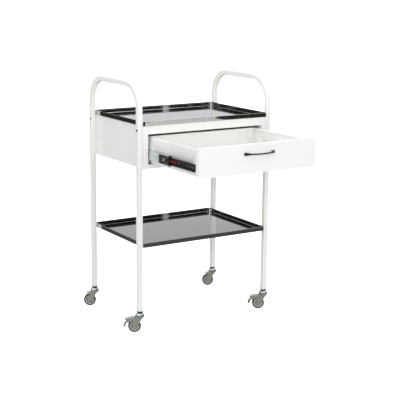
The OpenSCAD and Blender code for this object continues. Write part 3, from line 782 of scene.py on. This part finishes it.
class TROLLEY_OT_studio(bpy.types.Operator):
    """Make the camera, the lights, the floor and the backdrop"""

    bl_idname = "trolley.studio"
    bl_label = "Studio"

    def execute(self, context):
        studio = context.scene.trolley_studio
        context.scene.view_settings.view_transform = "Standard"
        make_camera(studio)
        make_world(studio)
        make_stage(studio)
        middle = (0.0, -0.1, 0.5)
        add_softbox("key_softbox", (1.2, -3.0, 3.2), middle, 2.6, 1.4, studio.key_power)
        add_softbox("top_softbox", (0.2, 0.1, 3.0), middle, 2.4, 2.4, studio.top_power)
        add_softbox("fill_softbox", (-3.2, -1.0, 1.7), middle, 1.8, 1.8, studio.fill_power)
        front = add_softbox("front_softbox", (-1.2, -3.6, 1.2), middle, 3.0, 2.0,
                            studio.front_power)
        front.visible_glossy = False
        return {"FINISHED"}


# ---- Hoops ----


def make_hoop(side):
    """One hoop of square tube, bent from its left leg over the top to its right leg."""
    sheet = bpy.context.scene.trolley_sheet
    node_name = side + "_hoop"
    low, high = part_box(node_name)
    width = high.x - low.x
    centre_x = (low.x + high.x) / 2
    front, back, top = low.y + width / 2, high.y - width / 2, high.z - width / 2
    line = line_mesh([(centre_x, front, low.z), (centre_x, front, top),
                      (centre_x, back, top), (centre_x, back, low.z)])
    bm = grown(node_name, line, bent_tube_tree, {
        "Bend radius": sheet.bend_radius, "Bend steps": sheet.bend_steps, "Width": width,
        "Corner radius": sheet.tube_corner, "Corner steps": 5, "Material": finish("hoop_paint")})
    hoop = from_bmesh("bent_hoop_" + side, bm)
    settle(hoop, "trolley_frame", "hoop_paint", node_name)


class TROLLEY_OT_hoops(bpy.types.Operator):
    """Make the two hoops"""

    bl_idname = "trolley.hoops"
    bl_label = "Hoops"

    def execute(self, context):
        for side in SIDES:
            make_hoop(side)
        return {"FINISHED"}


# ---- Trays ----


def rim_section(sheet, low_z, high_z):
    """The line of a tray's rim: from the floor's top up the inside, over the hem and down
    the outside to the floor's underside. Points are insets from the tray's edge and heights."""
    t, inner = sheet.tray_sheet, sheet.tray_fillet
    outer = inner + t
    roll = sheet.hem_width / 2
    flat = sheet.tray_corner - 2 * MM
    hem_z = high_z - sheet.hem_height
    line = [(flat, low_z + t), (flat - 1.6 * MM, low_z + t)]
    line += arc((outer, low_z + outer), inner, 270, 180, 6)
    line += [(t, hem_z - roll)]
    line += arc((t + 0.3 * MM, hem_z), 0.3 * MM, 180, 90, 3)
    line += arc((sheet.hem_width - 0.4 * MM, hem_z + 0.7 * MM), 0.4 * MM, 270, 360, 3)
    line += arc((roll, high_z - roll), roll, 0, 180, 10)
    line += arc((outer, low_z + outer), outer, 180, 270, 6)
    line += [(flat - 1.6 * MM, low_z), (flat, low_z)]
    return line


def make_tray(node_name):
    """One tray pressed from polished sheet, with a rolled hem."""
    sheet = bpy.context.scene.trolley_sheet
    low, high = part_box(node_name)
    section = line_mesh([(-inset, -z) for inset, z in rim_section(sheet, low.z, high.z)])
    bm = grown(node_name, section, pressed_rim_tree, {
        "Width": high.x - low.x, "Depth": high.y - low.y, "Corner radius": sheet.tray_corner,
        "Corner steps": 8, "Material": finish("tray_steel")})
    bmesh.ops.holes_fill(bm, edges=[edge for edge in bm.edges if edge.is_boundary], sides=0)
    tray = from_bmesh("pressed_" + node_name, bm, 60.0)
    settle(tray, "trolley_frame", "tray_steel", node_name)


class TROLLEY_OT_trays(bpy.types.Operator):
    """Make the two trays"""

    bl_idname = "trolley.trays"
    bl_label = "Trays"

    def execute(self, context):
        for node_name in ("upper_tray", "lower_tray"):
            make_tray(node_name)
        return {"FINISHED"}


# ---- Casing ----


class TROLLEY_OT_casing(bpy.types.Operator):
    """Round the folds of the drawer casing's panels"""

    bl_idname = "trolley.casing"
    bl_label = "Casing"

    def execute(self, context):
        radius = context.scene.trolley_sheet.fold_radius
        for node_name in ("front_frame", "back_panel", "left_side_panel", "right_side_panel",
                          "top_panel", "bottom_panel", "left_slide_carrier",
                          "right_slide_carrier"):
            panel = softened("folded_" + node_name, node_name, radius, 3, 1.2 * MM)
            settle(panel, "trolley_frame", "casing_paint", node_name)
        return {"FINISHED"}


# ---- Slides ----


def rail_section(box, casing_x, middle_z, opens, lip, bead):
    """The outline, as X and Z, of a rail rolled from sheet: a web, two flanges that reach
    towards opens (1 towards the drawer, -1 towards the casing) and, if lip, turned edges."""
    sheet = bpy.context.scene.trolley_sheet
    t = sheet.rail_sheet
    low, high = box
    side = math.copysign(1, low.x)
    near, far = sorted(abs(x - side * casing_x) for x in (low.x, high.x))
    web, edge = (near + t / 2, far) if opens > 0 else (far - t / 2, near)
    half = (high.z - low.z) / 2 - t / 2
    line = [(web, -half)]
    for z in (-0.62 * half, 0.62 * half):
        line += [(web, z - 2.2 * MM), (web + opens * bead, z - 1.0 * MM),
                 (web + opens * bead, z + 1.0 * MM), (web, z + 2.2 * MM)]
    line += [(web, half)]
    if lip:
        edge -= opens * t / 2
        line = ([(edge, -half + lip), (edge, -half)] + line + [(edge, half), (edge, half - lip)])
    else:
        line = [(edge, -half)] + line + [(edge, half)]
    outline = strip(rounded(line, sheet.rail_bend), t)
    return [(side * (casing_x - s), middle_z + z) for s, z in outline]


def make_rail(side, member, opens, lip, bead, slot_name, body):
    """One member of a slide, rolled from sheet."""
    node_name = f"{side}_{member}_rail"
    outer_low, outer_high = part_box(side + "_outer_rail")
    casing_x = max(abs(outer_low.x), abs(outer_high.x))
    low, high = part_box(node_name)
    outline = rail_section((low, high), casing_x, (low.z + high.z) / 2, opens, lip, bead)
    bm = grown(node_name, line_mesh([(x, -z) for x, z in outline], closed=True),
               rolled_section_tree, {"Start": low.y, "End": high.y,
                                     "Material": finish(slot_name)})
    rail = from_bmesh("rolled_" + node_name, bm)
    if member == "inner":
        rail = drilled(rail, rail_holes(low, high), low.x - MM, high.x + MM,
                       lambda u, v, w: (w, u, v))
    settle(rail, body, slot_name, node_name)


def rail_holes(low, high):
    """The oblong slot and the round holes near the front end of an inner rail, as Y and Z."""
    middle_z = (low.z + high.z) / 2
    slot_y = low.y + 16 * MM
    oblong = (arc((slot_y, middle_z + 3 * MM), 2.2 * MM, 0, 180, 10)
              + arc((slot_y, middle_z - 3 * MM), 2.2 * MM, 180, 360, 10))
    return [oblong] + [arc((low.y + offset, middle_z), 1.8 * MM, 0, 345, 23)
                       for offset in (52 * MM, 82 * MM)]


def make_rail_stop(side):
    """Moulded end stop: a plate on the middle rail with a round window and two slots, and a
    wall with a lug above and below on the rail's front end."""
    node_name = side + "_rail_stop"
    low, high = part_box(node_name)
    rail_low, rail_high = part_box(side + "_middle_rail")
    outward = math.copysign(1, low.x)
    plate_out = max(abs(low.x), abs(high.x))
    plate_in = max(abs(rail_low.x), abs(rail_high.x)) + 0.02 * MM
    middle_z = (low.z + high.z) / 2
    front, back = rail_low.y - 2 * MM, high.y
    corner, reach = 3 * MM, 13 * MM
    window_y, window_r = rail_low.y + 36 * MM, 6.6 * MM

    def on_plate(u, v, w):
        return outward * w, u, middle_z + v

    outline = [point for y, z, first in (
        (front + corner, -reach, 180), (back - corner, -reach, 270),
        (back - corner, reach, 0), (front + corner, reach, 90))
        for point in arc((y, z), corner, first, first + 90, 5)]
    plate = prism("moulded_stop_plate_" + side, outline, plate_in, plate_out, on_plate)
    cuts = [arc((window_y, 0.0), window_r, 0, 352.5, 47)]
    cuts += [arc((rail_low.y + 25 * MM, z), 1.6 * MM, -90, 90, 8)
             + arc((rail_low.y + 11 * MM, z), 1.6 * MM, 90, 270, 8)
             for z in (-10 * MM, 10 * MM)]
    cuts += [arc((back - 10 * MM, z), 2.2 * MM, 0, 345, 23) for z in (9 * MM, -9 * MM)]
    plate = drilled(plate, cuts, plate_in - MM, plate_out + MM, on_plate)
    round_edges(plate, 0.2 * MM)
    settle(plate, side + "_middle", "black_plastic", node_name)

    lug_in, lug_z = min(abs(low.x), abs(high.x)), 14.2 * MM
    top = (high.z - low.z) / 2
    section = [(lug_in, -top), (plate_out, -top), (plate_out, top), (lug_in, top),
               (lug_in, lug_z), (plate_in, lug_z), (plate_in, -lug_z), (lug_in, -lug_z)]
    wall = prism("moulded_stop_wall_" + side, section, low.y, rail_low.y - 0.05 * MM,
                 lambda u, v, w: (outward * u, w, middle_z + v))
    settle(round_edges(wall, 0.35 * MM), side + "_middle", "black_plastic")

    bm = bmesh.new()
    rim = [(5.9 * MM, 0.0), (window_r, 0.0), (window_r, 0.7 * MM), (6.2 * MM, 0.95 * MM),
           (5.9 * MM, 0.7 * MM)]
    place = (Matrix.Translation((outward * plate_in, window_y, middle_z))
             @ Matrix.Rotation(outward * math.pi / 2, 4, "Y"))
    add_lathe(bm, rim, place, 48)
    settle(from_bmesh("pressed_window_rim_" + side, bm), side + "_middle", "zinc")


def make_lever(side):
    """Moulded release lever: an eye on its pin, a thin arm and a ribbed thumb pad."""
    node_name = side + "_release_lever"
    low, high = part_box(node_name)
    middle_z = (low.z + high.z) / 2
    eye_y, eye_r = low.y + 4.5 * MM, 4.5 * MM
    pad_y = high.y - 16 * MM

    def across(u, v, w):
        return w, u, middle_z + v

    outline = arc((eye_y, 0.0), eye_r, 40, 320, 24)
    outline += [(pad_y - 2 * MM, -2.4 * MM), (pad_y + MM, -4.9 * MM), (high.y - MM, -4.9 * MM),
                (high.y, -4 * MM), (high.y, 4 * MM), (high.y - MM, 4.9 * MM),
                (pad_y + MM, 4.9 * MM), (pad_y - 2 * MM, 2.4 * MM)]
    lever = prism("moulded_lever_" + side, outline, low.x, high.x, across)
    pin_hole = arc((eye_y, 0.0), 1.56 * MM, 0, 345, 23)
    lever = drilled(lever, [pin_hole], low.x - MM, high.x + MM, across)
    settle(round_edges(lever, 0.35 * MM), side + "_lever", "red_plastic", node_name)

    face_x = math.copysign(max(abs(low.x), abs(high.x)), low.x)
    rib = prism("rib_shape", arc((0.0, 0.0), 0.45 * MM, 0, 330, 11), -3.6 * MM, 3.6 * MM,
                lambda u, v, w: (u, v, w))
    places = [((face_x, pad_y + (3.0 + 2.2 * i) * MM, middle_z), (0.0, 0.0, 1.0))
              for i in range(5)]
    ribs = copied("thumb_ribs_" + side, rib, places, "red_plastic")
    settle(ribs, side + "_lever", "red_plastic")


def make_slide_parts(side):
    """One telescopic slide: its three rails, its stop, its lever and its ball cages."""
    make_rail(side, "outer", 1, 2.1 * MM, 0.15 * MM, "zinc", "trolley_frame")
    make_rail(side, "middle", 1, 0.0, 0.3 * MM, "zinc", side + "_middle")
    make_rail(side, "inner", -1, 0.0, 0.4 * MM, "black_rail", "drawer")
    make_rail_stop(side)
    make_lever(side)
    recoat("zinc", side + "_outer_ball_cage", side + "_inner_ball_cage")


class TROLLEY_OT_slides(bpy.types.Operator):
    """Make the two telescopic slides"""

    bl_idname = "trolley.slides"
    bl_label = "Slides"

    def execute(self, context):
        for side in SIDES:
            make_slide_parts(side)
        recoat("zinc", "slide_screws")
        return {"FINISHED"}


# ---- Drawer ----


class TROLLEY_OT_drawer(bpy.types.Operator):
    """Make the drawer's box, back and front board"""

    bl_idname = "trolley.drawer"
    bl_label = "Drawer"

    def execute(self, context):
        sheet = context.scene.trolley_sheet
        for node_name in ("drawer_box", "drawer_back"):
            panel = softened("folded_" + node_name, node_name, sheet.fold_radius * 0.8, 3,
                             1.0 * MM)
            settle(panel, "drawer", "drawer_paint", node_name)
        make_front_board(sheet)
        return {"FINISHED"}


def frame_outline(low, high):
    """The corners of an upright rectangle, as X and Z."""
    return [(low.x, low.z), (high.x, low.z), (high.x, high.z), (low.x, high.z)]


def make_front_board(sheet):
    """The laminated board and the edging glued round it."""
    low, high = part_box("drawer_front")
    inset = Vector((sheet.edging, 0.0, sheet.edging))
    core_outline = frame_outline(low + inset, high - inset)
    board = prism("front_board", core_outline, low.y, high.y, lambda u, v, w: (u, w, v))
    settle(round_edges(board, 0.25 * MM), "drawer", "front_board", "drawer_front")

    bm = bmesh.new()
    outer = frame_outline(low, high)
    add_loft(bm, [[Vector((u, w, v)) for u, v, w in (
        (*outer[i], low.y + 0.1 * MM), (*outer[i], high.y - 0.1 * MM),
        (*core_outline[i], high.y - 0.1 * MM), (*core_outline[i], low.y + 0.1 * MM))]
        for i in range(4)], closed=True)
    edging = round_edges(from_bmesh("front_edging", bm), 0.35 * MM)
    settle(edging, "drawer", "front_board")


# ---- Handle ----


def make_handle():
    """Bow handle: one skin from foot to foot, thin in the middle and flared at both ends."""
    low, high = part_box("drawer_handle")
    half, out = (high.x - low.x) / 2, high.y - low.y
    centre_z = (low.z + high.z) / 2
    foot = 26 * MM
    bow_thick, bow_high, foot_high, foot_thick = 6 * MM, 5 * MM, high.z - low.z, 8 * MM
    reach, rise = half - 4 * MM, out - bow_thick
    radius = (reach * reach + rise * rise) / (2 * rise)
    stations, ring_points = 64, 20
    sections = []
    for i in range(stations + 1):
        x = half * math.sin(math.pi * (i / stations - 0.5))
        middle = math.sqrt(max(radius * radius - x * x, 0.0)) - radius + rise + bow_thick / 2
        flare = max(0.0, (abs(x) - (half - foot)) / foot)
        flare = flare * flare * (3 - 2 * flare)
        tip = math.sqrt(max(0.0, 1 - (abs(x) / half) ** 14))
        height = (bow_high + (foot_high - bow_high) * flare) * (0.6 + 0.4 * tip)
        front = max(middle + bow_thick / 2, foot_thick * flare)
        front = front * (0.35 + 0.65 * tip)
        back = max(0.0, middle - bow_thick / 2) * (1 - flare)
        ring = []
        for k in range(ring_points):
            a = 2 * math.pi * k / ring_points
            u = math.copysign(abs(math.cos(a)) ** 0.6, math.cos(a))
            v = math.copysign(abs(math.sin(a)) ** 0.6, math.sin(a))
            ring.append(Vector((x, high.y - (front + back) / 2 - (front - back) / 2 * u,
                                centre_z + height / 2 * v)))
        sections.append(ring)
    bm = bmesh.new()
    add_loft(bm, sections)
    settle(from_bmesh("bow_handle", bm, 50.0), "drawer", "black_handle", "drawer_handle")


class TROLLEY_OT_handle(bpy.types.Operator):
    """Make the drawer's handle and its screws"""

    bl_idname = "trolley.handle"
    bl_label = "Handle"

    def execute(self, context):
        make_handle()
        recoat("zinc", "handle_screws")
        return {"FINISHED"}


# ---- Fasteners ----


def cross_head(name, radius, height, recess):
    """A domed screw head with a cross recess, standing on the origin along Z."""
    bm = bmesh.new()
    steps, rings = 32, 7
    arm_half, arm_reach = 0.16 * radius, 0.55 * radius
    skin = []
    for slope in (math.pi / 2 * k / rings for k in range(rings)):
        r, h = radius * math.cos(slope), height * math.sin(slope)
        ring = []
        for i in range(steps):
            across, along = math.cos(2 * math.pi * i / steps), math.sin(2 * math.pi * i / steps)
            on_arm = min(abs(along), abs(across)) * r < arm_half and r < arm_reach
            sunk = recess if on_arm else 0.0
            ring.append(Vector((r * across, r * along, h - sunk)))
        skin.append(ring)
    skin.insert(0, [Vector((p.x, p.y, 0.0)) for p in skin[0]])
    add_loft(bm, skin)
    return from_bmesh(name, bm, 40.0)


class TROLLEY_OT_fasteners(bpy.types.Operator):
    """Make the screws of the trays and the drawer, the casing's bolts and the hidden nuts"""

    bl_idname = "trolley.fasteners"
    bl_label = "Fasteners"

    def execute(self, context):
        low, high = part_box("casing_bolts")
        hoop_low, hoop_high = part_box("right_hoop")
        leg_y = (hoop_high.y - hoop_low.y - (hoop_high.x - hoop_low.x)) / 2
        bolt_z = (low.z + high.z) / 2
        places = [((side * hoop_high.x, y, bolt_z), (side, 0.0, 0.0))
                  for side in SIDES.values() for y in (-leg_y, leg_y)]
        shape = cross_head("bolt_shape", (high.z - low.z) / 2, high.x - hoop_high.x, 0.8 * MM)
        heads = copied("casing_bolt_heads", shape, places, "black_bolt")
        settle(heads, "trolley_frame", "black_bolt", "casing_bolts")

        places = []
        screw_low, screw_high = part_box("tray_screws")
        screw_y = screw_high.y - 4 * MM
        for node_name in ("upper_tray", "lower_tray"):
            low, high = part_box(node_name)
            wall_x = high.x - context.scene.trolley_sheet.tray_sheet
            places += [((side * wall_x, y, (low.z + high.z) / 2), (-side, 0.0, 0.0))
                       for side in SIDES.values() for y in (-screw_y, screw_y)]
        shape = cross_head("screw_shape", 3.9 * MM, 1.6 * MM, 0.7 * MM)
        heads = copied("tray_screw_heads", shape, places, "zinc")
        settle(heads, "trolley_frame", "zinc", "tray_screws")

        recoat("zinc", "tray_rivet_nuts", "casing_nuts", "drawer_screws")
        return {"FINISHED"}


# ---- Casters ----


def wheel_matrix(corner):
    """Places a turned shape on a wheel's axle: its Z runs along the axle."""
    joint = JOINTS[corner + "_roll"]
    turn = Vector(joint["axis"]).to_track_quat("Z", "Y").to_matrix().to_4x4()
    return Matrix.Translation(joint["pos_m"]) @ turn


def make_caster_heads():
    """Turned stems and domed heads over the ball races, one copy under each leg."""
    low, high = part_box("caster_stems")
    skirt_r = 17.5 * MM
    leg_x, leg_y = high.x - skirt_r, high.y - skirt_r
    collar_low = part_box("leg_inserts")[0].z - 0.05 * MM
    skirt_z, roof = low.z + 5.2 * MM, 66.1 * MM
    profile = [(0.0, low.z), (6.6 * MM, low.z), (7.0 * MM, low.z + 0.4 * MM),
               (7.0 * MM, low.z + 1.8 * MM), (6.6 * MM, low.z + 2.2 * MM),
               (5.0 * MM, low.z + 2.2 * MM),
               (5.0 * MM, roof - 0.6 * MM), (skirt_r - 2.2 * MM, roof - 0.6 * MM),
               (skirt_r - 1.4 * MM, roof - 1.4 * MM), (skirt_r - 1.4 * MM, skirt_z + 0.3 * MM),
               (skirt_r - 1.1 * MM, skirt_z), (skirt_r - 0.3 * MM, skirt_z),
               (skirt_r, skirt_z + 0.3 * MM), (skirt_r, roof - 0.8 * MM)]
    dome_in, dome_high = 8.5 * MM, 10.5 * MM
    dome = [(skirt_r - dome_in * (1 - math.cos(a)), roof + dome_high * math.sin(a))
            for a in (math.radians(6 * k) for k in range(13))]
    profile += dome + [(8.2 * MM, roof + 11.0 * MM), (7.2 * MM, roof + 11.6 * MM),
                       (7.0 * MM, collar_low), (5.0 * MM, collar_low),
                       (5.0 * MM, high.z - MM), (4.0 * MM, high.z), (0.0, high.z)]
    bm = bmesh.new()
    add_turned(bm, profile, 72)
    shape = from_bmesh("head_shape", bm, 40.0)
    places = [((x, y, 0.0), (0.0, 0.0, 1.0)) for x in (-leg_x, leg_x) for y in (-leg_y, leg_y)]
    heads = copied("turned_caster_heads", shape, places, "zinc", 40.0)
    settle(heads, "trolley_frame", "zinc", "caster_stems")


class TROLLEY_OT_casters(bpy.types.Operator):
    """Make the casters' plugs, heads, forks and axles"""

    bl_idname = "trolley.casters"
    bl_label = "Casters"

    def execute(self, context):
        inserts = softened("moulded_leg_inserts", "leg_inserts", 0.4 * MM)
        settle(inserts, "trolley_frame", "black_plastic", "leg_inserts")
        make_caster_heads()
        recoat("zinc", "swivel_balls")
        for corner in CASTERS:
            fork = softened("pressed_fork_" + corner, corner + "_fork", 0.5 * MM)
            settle(fork, corner + "_caster", "caster_zinc", corner + "_fork")
            axle = softened("turned_axle_" + corner, corner + "_axle", 0.3 * MM)
            settle(axle, corner + "_caster", "caster_zinc", corner + "_axle")
        return {"FINISHED"}


# ---- Wheels ----


def mirrored_profile(half_profile):
    """A closed profile from the half with positive heights."""
    return half_profile + [(r, -h) for r, h in reversed(half_profile)]


def make_hub(corner):
    """Moulded hub: a boss, a dished web with a raised ring, and the seat of the tyre."""
    profile = [(r * MM, h * MM) for r, h in (
        (3.05, 10.1), (6.6, 10.1), (7.0, 9.7), (7.2, 7.2), (7.8, 6.4), (10.4, 5.6), (10.9, 6.0),
        (11.2, 7.2), (11.8, 7.6), (12.6, 7.6), (13.2, 7.2), (13.6, 6.2), (15.4, 6.2),
        (15.8, 7.6), (16.4, 8.3), (18.4, 8.4), (19.0, 8.0))]
    bm = bmesh.new()
    add_lathe(bm, mirrored_profile(profile), wheel_matrix(corner))
    hub = from_bmesh("moulded_hub_" + corner, bm, 40.0)
    # Painted shade: the dished web from 7.1 to 11 mm and the edge by the tyre are marked to be
    # coloured near black.
    mark_rings(hub, corner, "grime", lambda r: (7.1 * MM < r < 11.0 * MM) or r > 18.5 * MM)
    settle(hub, corner + "_wheel", "hub_plastic", corner + "_hub")


def mark_rings(piece, corner, attribute_name, share):
    """Stores on a wheel's vertices a share that depends on their radius: tread wear on a tyre,
    painted shade on a hub.
    """
    axle = wheel_matrix(corner).inverted()
    marks = piece.data.attributes.new(attribute_name, "FLOAT", "POINT")
    for i, vertex in enumerate(piece.data.vertices):
        marks.data[i].value = float(share((axle @ vertex.co).to_2d().length))


def make_tyre(corner):
    """Rubber tyre with rounded shoulders and a fine groove on each side of the tread."""
    wheel_r, half, shoulder, seat = 25 * MM, 9 * MM, 3.5 * MM, 19.02 * MM
    line = [(seat, half - 1.2 * MM), (seat + 0.6 * MM, half - 0.2 * MM),
            (seat + 1.2 * MM, half), (wheel_r - shoulder, half)]
    line += arc((wheel_r - shoulder, half - shoulder), shoulder, 75, 0, 6)
    line += [(wheel_r, 4.2 * MM), (wheel_r - 0.4 * MM, 3.9 * MM), (wheel_r, 3.6 * MM)]
    bm = bmesh.new()
    add_lathe(bm, mirrored_profile(line), wheel_matrix(corner))
    tyre = from_bmesh("tyre_band_" + corner, bm, 50.0)
    mark_rings(tyre, corner, "tread",
               lambda r: min(1.0, max(0.0, (r - 23.5 * MM) / (1.5 * MM))))
    settle(tyre, corner + "_wheel", "tyre_grey", corner + "_tyre")


class TROLLEY_OT_wheels(bpy.types.Operator):
    """Make the wheels' hubs and tyres"""

    bl_idname = "trolley.wheels"
    bl_label = "Wheels"

    def execute(self, context):
        for corner in CASTERS:
            make_hub(corner)
            make_tyre(corner)
        return {"FINISHED"}


# ---- Brakes ----


class TROLLEY_OT_brakes(bpy.types.Operator):
    """Make the brake pedals of the front casters"""

    bl_idname = "trolley.brakes"
    bl_label = "Brakes"

    def execute(self, context):
        for corner in BRAKED:
            pedal = softened("pressed_pedal_" + corner, corner + "_brake_pedal", 0.35 * MM)
            settle(pedal, corner + "_brake", "caster_zinc", corner + "_brake_pedal")
        return {"FINISHED"}


# ---- Panel and running order ----

STEPS = (TROLLEY_OT_studio, TROLLEY_OT_hoops, TROLLEY_OT_trays, TROLLEY_OT_casing,
         TROLLEY_OT_slides, TROLLEY_OT_drawer, TROLLEY_OT_handle, TROLLEY_OT_fasteners,
         TROLLEY_OT_casters, TROLLEY_OT_wheels, TROLLEY_OT_brakes)


class TROLLEY_PT_steps(bpy.types.Panel):
    """The steps that build the trolley, in order"""

    bl_idname = "TROLLEY_PT_steps"
    bl_label = "Rolling salon trolley"
    bl_space_type = "VIEW_3D"
    bl_region_type = "UI"
    bl_category = "Trolley"

    def draw(self, context):
        for step in STEPS:
            self.layout.operator(step.bl_idname)
        for group in (context.scene.trolley_sheet, context.scene.trolley_colours,
                      context.scene.trolley_studio):
            column = self.layout.column()
            for key in group.__annotations__:
                column.prop(group, key)


GROUPS = {"trolley_sheet": TrolleySheet, "trolley_colours": TrolleyColours,
          "trolley_studio": TrolleyStudio}
CLASSES = (*GROUPS.values(), *STEPS, TROLLEY_PT_steps)


def register():
    for cls in CLASSES:
        bpy.utils.register_class(cls)
    for key, group in GROUPS.items():
        setattr(bpy.types.Scene, key, PointerProperty(type=group))


def unregister():
    for key in GROUPS:
        delattr(bpy.types.Scene, key)
    for cls in reversed(CLASSES):
        bpy.utils.unregister_class(cls)


def main():
    register()
    for step in STEPS:
        getattr(bpy.ops.trolley, step.bl_idname.split(".")[1])()


if __name__ == "__main__":
    main()
